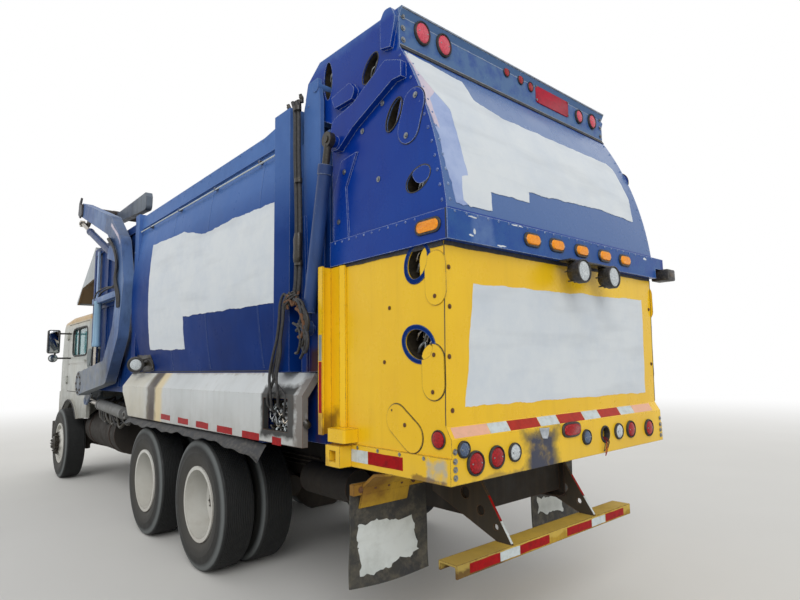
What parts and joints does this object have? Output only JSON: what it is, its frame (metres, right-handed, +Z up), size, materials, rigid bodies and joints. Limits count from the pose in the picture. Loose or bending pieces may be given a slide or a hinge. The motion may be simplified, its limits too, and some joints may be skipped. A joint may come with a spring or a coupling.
{
  "type": "front loading garbage truck",
  "caption": "Low cabover front loading garbage truck with upright lift arms and forks over an open hopper, bulged packer body and a hinged bulged tailgate.",
  "frame": {"origin": "on the ground under the middle of the overall length, on the centreline", "axes": "-Y is forward, +X is the truck's left side, +Z is up"},
  "size_m": [2.8, 9.34, 4.14],
  "materials": {
    "white_cab_paint": "satin",
    "blue_body_paint": "satin",
    "yellow_paint": "satin",
    "light_blue_arm_paint": "satin",
    "frame_paint": "matte",
    "white_wheel_paint": "satin",
    "tyre_rubber": "matte",
    "black_rubber": "matte",
    "rod_chrome": "polished",
    "window_glass": "clear",
    "cab_plastic": "matte",
    "red_lens": "gloss",
    "amber_lens": "gloss",
    "clear_lens": "gloss"
  },
  "bodies": {
    "chassis": {"air_intake": "frame_paint", "body_shell": "blue_body_paint", "cab_glass": "window_glass", "cab_interior": "cab_plastic", "cab_shell": "white_cab_paint", "cab_shield": "white_cab_paint", "chassis_frame": "frame_paint", "drive_shafts": "frame_paint", "engine_block": "frame_paint", "front_axle": "frame_paint", "front_bumper": "frame_paint", "guard_hangers": "frame_paint", "head_lamps": "clear_lens", "hopper": "blue_body_paint", "hydraulic_hoses": "black_rubber", "rear_axles": "frame_paint", "rubber_fenders_and_flaps": "black_rubber", "side_skirts": "white_cab_paint", "step_bar_and_flap_brackets": "yellow_paint", "tank_and_battery_box": "frame_paint"},
    "front_wheel_left": {"front_tyre_left": "tyre_rubber", "front_rim_left": "white_wheel_paint"},
    "knuckle_left": {"steering_knuckle_left": "frame_paint"},
    "forward_wheels_left": {"forward_tyres_left": "tyre_rubber", "forward_rims_left": "white_wheel_paint"},
    "rear_wheels_left": {"rear_tyres_left": "tyre_rubber", "rear_rims_left": "white_wheel_paint"},
    "door_left": {"cab_door_left": "white_cab_paint", "door_glass_left": "window_glass", "mirror_left": "frame_paint"},
    "lift_barrel_left": {"lift_barrel_left": "light_blue_arm_paint"},
    "lift_rod_left": {"lift_rod_left": "rod_chrome"},
    "tilt_barrel_left": {"tilt_barrel_left": "light_blue_arm_paint"},
    "tilt_rod_left": {"tilt_rod_left": "rod_chrome"},
    "gate_barrel_left": {"gate_barrel_left": "light_blue_arm_paint"},
    "gate_rod_left": {"gate_rod_left": "rod_chrome"},
    "front_wheel_right": {"front_tyre_right": "tyre_rubber", "front_rim_right": "white_wheel_paint"},
    "knuckle_right": {"steering_knuckle_right": "frame_paint"},
    "forward_wheels_right": {"forward_tyres_right": "tyre_rubber", "forward_rims_right": "white_wheel_paint"},
    "rear_wheels_right": {"rear_tyres_right": "tyre_rubber", "rear_rims_right": "white_wheel_paint"},
    "door_right": {"cab_door_right": "white_cab_paint", "door_glass_right": "window_glass", "mirror_right": "frame_paint"},
    "lift_barrel_right": {"lift_barrel_right": "light_blue_arm_paint"},
    "lift_rod_right": {"lift_rod_right": "rod_chrome"},
    "tilt_barrel_right": {"tilt_barrel_right": "light_blue_arm_paint"},
    "tilt_rod_right": {"tilt_rod_right": "rod_chrome"},
    "gate_barrel_right": {"gate_barrel_right": "light_blue_arm_paint"},
    "gate_rod_right": {"gate_rod_right": "rod_chrome"},
    "tailgate": {"tailgate_upper": "blue_body_paint", "tailgate_lower": "yellow_paint", "tailgate_lamps": "red_lens", "amber_lamps": "amber_lens", "work_lamps": "clear_lens"},
    "arms": {"lift_arms": "light_blue_arm_paint"},
    "forks": {"forks": "light_blue_arm_paint"},
    "packer": {"packer_panel": "blue_body_paint"}
  },
  "joints": [
    {"name": "steering_left", "type": "hinge", "parent": "chassis", "child": "knuckle_left", "pos_m": [0.8, -3.756, 0.522], "axis": [0, 0, 1], "range_deg": [-30, 30]},
    {"name": "front_wheel_spin_left", "type": "hinge", "parent": "knuckle_left", "child": "front_wheel_left", "pos_m": [0.8, -3.756, 0.522], "axis": [1, 0, 0], "continuous": true},
    {"name": "forward_wheel_spin_left", "type": "hinge", "parent": "chassis", "child": "forward_wheels_left", "pos_m": [0.8, 0.34, 0.522], "axis": [1, 0, 0], "continuous": true},
    {"name": "rear_wheel_spin_left", "type": "hinge", "parent": "chassis", "child": "rear_wheels_left", "pos_m": [0.8, 1.71, 0.522], "axis": [1, 0, 0], "continuous": true},
    {"name": "door_hinge_left", "type": "hinge", "parent": "chassis", "child": "door_left", "pos_m": [1.086, -4.05, 1.83], "axis": [0, 0, -1], "range_deg": [0, 70]},
    {"name": "steering_right", "type": "hinge", "parent": "chassis", "child": "knuckle_right", "pos_m": [-0.8, -3.756, 0.522], "axis": [0, 0, 1], "range_deg": [-30, 30]},
    {"name": "front_wheel_spin_right", "type": "hinge", "parent": "knuckle_right", "child": "front_wheel_right", "pos_m": [-0.8, -3.756, 0.522], "axis": [1, 0, 0], "continuous": true},
    {"name": "forward_wheel_spin_right", "type": "hinge", "parent": "chassis", "child": "forward_wheels_right", "pos_m": [-0.8, 0.34, 0.522], "axis": [1, 0, 0], "continuous": true},
    {"name": "rear_wheel_spin_right", "type": "hinge", "parent": "chassis", "child": "rear_wheels_right", "pos_m": [-0.8, 1.71, 0.522], "axis": [1, 0, 0], "continuous": true},
    {"name": "door_hinge_right", "type": "hinge", "parent": "chassis", "child": "door_right", "pos_m": [-1.086, -4.05, 1.83], "axis": [0, 0, 1], "range_deg": [0, 70]},
    {"name": "tailgate_hinge", "type": "hinge", "parent": "chassis", "child": "tailgate", "pos_m": [0, 3.43, 3.44], "axis": [1, 0, 0], "range_deg": [0, 85]},
    {"name": "arm_lift", "type": "hinge", "parent": "chassis", "child": "arms", "pos_m": [0, -2.4, 1.45], "axis": [1, 0, 0], "range_deg": [0, 90]},
    {"name": "fork_tilt", "type": "hinge", "parent": "arms", "child": "forks", "pos_m": [0, -2.64, 3.95], "axis": [1, 0, 0], "range_deg": [0, 95]},
    {"name": "packer_slide", "type": "slide", "parent": "chassis", "child": "packer", "axis": [0, 1, 0], "range_m": [0, 1.4]},
    {"name": "lift_barrel_swing_left", "type": "hinge", "parent": "chassis", "child": "lift_barrel_left", "pos_m": [1.05, -0.79, 1.1], "axis": [1, 0, 0], "range_deg": [-3.01, 0]},
    {"name": "lift_rod_stroke_left", "type": "slide", "parent": "lift_barrel_left", "child": "lift_rod_left", "axis": [0, -0.9983, 0.0579], "range_m": [-0.4486, 0]},
    {"name": "tilt_barrel_swing_left", "type": "hinge", "parent": "arms", "child": "tilt_barrel_left", "pos_m": [1.19, -1.11, 3.05], "axis": [1, 0, 0], "range_deg": [-2.39, 0]},
    {"name": "tilt_rod_stroke_left", "type": "slide", "parent": "tilt_barrel_left", "child": "tilt_rod_left", "axis": [0, -0.9208, 0.3901], "range_m": [-0.4457, 0]},
    {"name": "gate_barrel_swing_left", "type": "hinge", "parent": "chassis", "child": "gate_barrel_left", "pos_m": [1.19, 3.4, 1.86], "axis": [1, 0, 0], "range_deg": [-3.72, 0]},
    {"name": "gate_rod_stroke_left", "type": "slide", "parent": "gate_barrel_left", "child": "gate_rod_left", "axis": [0, 0.206, 0.9785], "range_m": [0, 0.6653]},
    {"name": "lift_barrel_swing_right", "type": "hinge", "parent": "chassis", "child": "lift_barrel_right", "pos_m": [-1.05, -0.79, 1.1], "axis": [1, 0, 0], "range_deg": [-3.01, 0]},
    {"name": "lift_rod_stroke_right", "type": "slide", "parent": "lift_barrel_right", "child": "lift_rod_right", "axis": [0, -0.9983, 0.0579], "range_m": [-0.4486, 0]},
    {"name": "tilt_barrel_swing_right", "type": "hinge", "parent": "arms", "child": "tilt_barrel_right", "pos_m": [-1.19, -1.11, 3.05], "axis": [1, 0, 0], "range_deg": [-2.39, 0]},
    {"name": "tilt_rod_stroke_right", "type": "slide", "parent": "tilt_barrel_right", "child": "tilt_rod_right", "axis": [0, -0.9208, 0.3901], "range_m": [-0.4457, 0]},
    {"name": "gate_barrel_swing_right", "type": "hinge", "parent": "chassis", "child": "gate_barrel_right", "pos_m": [-1.19, 3.4, 1.86], "axis": [1, 0, 0], "range_deg": [-3.72, 0]},
    {"name": "gate_rod_stroke_right", "type": "slide", "parent": "gate_barrel_right", "child": "gate_rod_right", "axis": [0, 0.206, 0.9785], "range_m": [0, 0.6653]}
  ],
  "couplings": [
    {"joint": "steering_right", "follows": "steering_left", "ratio": 1},
    {"joint": "lift_barrel_swing_left", "follows": "arm_lift", "ratio": -0.03279},
    {"joint": "lift_rod_stroke_left", "follows": "arm_lift", "m_per_rad": -0.28},
    {"joint": "tilt_barrel_swing_left", "follows": "fork_tilt", "ratio": -0.02471},
    {"joint": "tilt_rod_stroke_left", "follows": "fork_tilt", "m_per_rad": -0.26351},
    {"joint": "gate_barrel_swing_left", "follows": "tailgate_hinge", "ratio": -0.04287},
    {"joint": "gate_rod_stroke_left", "follows": "tailgate_hinge", "m_per_rad": 0.43965},
    {"joint": "lift_barrel_swing_right", "follows": "arm_lift", "ratio": -0.03279},
    {"joint": "lift_rod_stroke_right", "follows": "arm_lift", "m_per_rad": -0.28},
    {"joint": "tilt_barrel_swing_right", "follows": "fork_tilt", "ratio": -0.02471},
    {"joint": "tilt_rod_stroke_right", "follows": "fork_tilt", "m_per_rad": -0.26351},
    {"joint": "gate_barrel_swing_right", "follows": "tailgate_hinge", "ratio": -0.04287},
    {"joint": "gate_rod_stroke_right", "follows": "tailgate_hinge", "m_per_rad": 0.43965}
  ]
}
